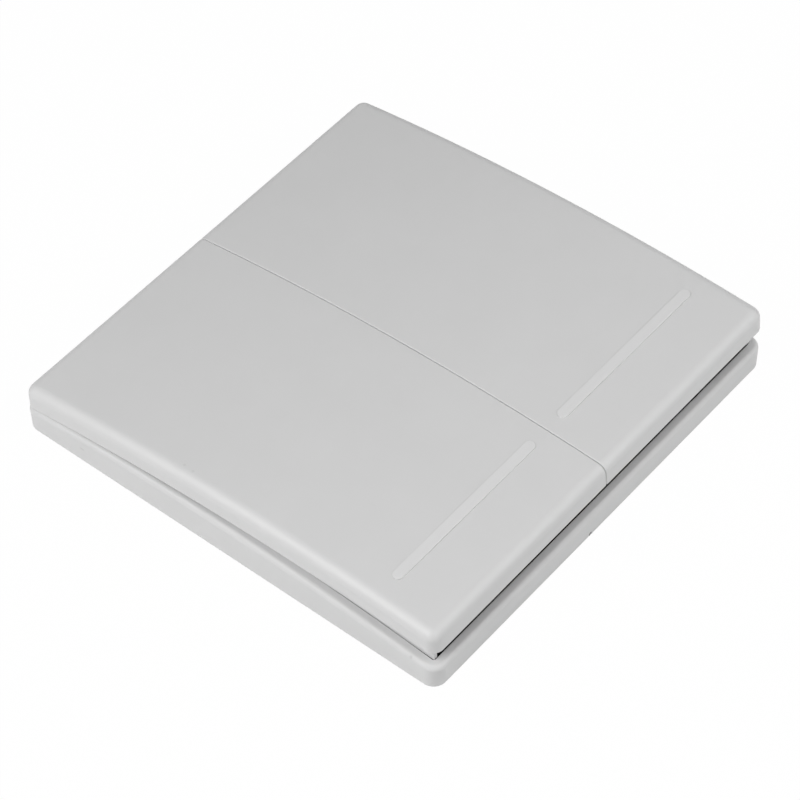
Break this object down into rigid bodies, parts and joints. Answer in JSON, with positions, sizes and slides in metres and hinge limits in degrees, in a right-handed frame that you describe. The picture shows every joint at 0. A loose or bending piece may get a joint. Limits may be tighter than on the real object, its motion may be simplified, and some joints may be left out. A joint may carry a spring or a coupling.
{
  "type": "wireless remote wall switch",
  "caption": "Flat square white wireless wall switch: arched rockers with raised bars see-saw over a shallow tray that screws to the wall, with a coin-cell transmitter board inside",
  "frame": {"origin": "Bottom centre of the back face, the face that lies against the wall.", "axes": "+Z out of the wall, +Y up the wall towards the ends of the rockers with the bars, +X to the right as it hangs."},
  "size_m": [0.08, 0.0798, 0.0127],
  "materials": {
    "housing_plastic": "satin",
    "rocker_plastic": "satin",
    "chassis_plastic": "matte",
    "board": "satin",
    "plated_steel": "satin",
    "cell_can": "satin",
    "black_moulding": "matte",
    "plunger_plastic": "matte",
    "tinned_brass": "satin",
    "copper_track": "satin",
    "capacitor_ceramic": "matte"
  },
  "bodies": {
    "base": {"housing": "housing_plastic", "chassis": "chassis_plastic", "circuit_board": "board", "board_screws": "plated_steel", "tact_base_upper_right": "black_moulding", "tact_base_lower_right": "black_moulding", "tact_base_upper_left": "black_moulding", "tact_base_lower_left": "black_moulding", "tact_cover_upper_right": "plated_steel", "tact_cover_lower_right": "plated_steel", "tact_cover_upper_left": "plated_steel", "tact_cover_lower_left": "plated_steel", "tact_terminals_upper_right": "tinned_brass", "tact_terminals_lower_right": "tinned_brass", "tact_terminals_upper_left": "tinned_brass", "tact_terminals_lower_left": "tinned_brass", "negative_contact": "tinned_brass", "coin_cell": "cell_can", "battery_clip": "plated_steel", "transmitter_chip": "black_moulding", "chip_leads": "tinned_brass", "resonator": "plated_steel", "chip_capacitors": "capacitor_ceramic", "chip_resistors": "black_moulding", "loop_antenna": "copper_track"},
    "rocker_right": {"rocker_right": "rocker_plastic"},
    "rocker_left": {"rocker_left": "rocker_plastic"},
    "plunger_upper_right": {"tact_plunger_upper_right": "plunger_plastic"},
    "plunger_lower_right": {"tact_plunger_lower_right": "plunger_plastic"},
    "plunger_upper_left": {"tact_plunger_upper_left": "plunger_plastic"},
    "plunger_lower_left": {"tact_plunger_lower_left": "plunger_plastic"}
  },
  "joints": [
    {"name": "rocker_right_tilt", "type": "hinge", "parent": "base", "child": "rocker_right", "pos_m": [0, 0, 0.0084], "axis": [1, 0, 0], "range_deg": [-4.8, 0]},
    {"name": "rocker_left_tilt", "type": "hinge", "parent": "base", "child": "rocker_left", "pos_m": [0, 0, 0.0084], "axis": [1, 0, 0], "range_deg": [-4.8, 0]},
    {"name": "plunger_upper_right_press", "type": "slide", "parent": "base", "child": "plunger_upper_right", "axis": [0, 0, 1], "range_m": [-0.00025, 0], "stiffness_N_per_m": 6000},
    {"name": "plunger_lower_right_press", "type": "slide", "parent": "base", "child": "plunger_lower_right", "axis": [0, 0, 1], "range_m": [-0.00025, 0], "stiffness_N_per_m": 6000},
    {"name": "plunger_upper_left_press", "type": "slide", "parent": "base", "child": "plunger_upper_left", "axis": [0, 0, 1], "range_m": [-0.00025, 0], "stiffness_N_per_m": 6000},
    {"name": "plunger_lower_left_press", "type": "slide", "parent": "base", "child": "plunger_lower_left", "axis": [0, 0, 1], "range_m": [-0.00025, 0], "stiffness_N_per_m": 6000}
  ]
}
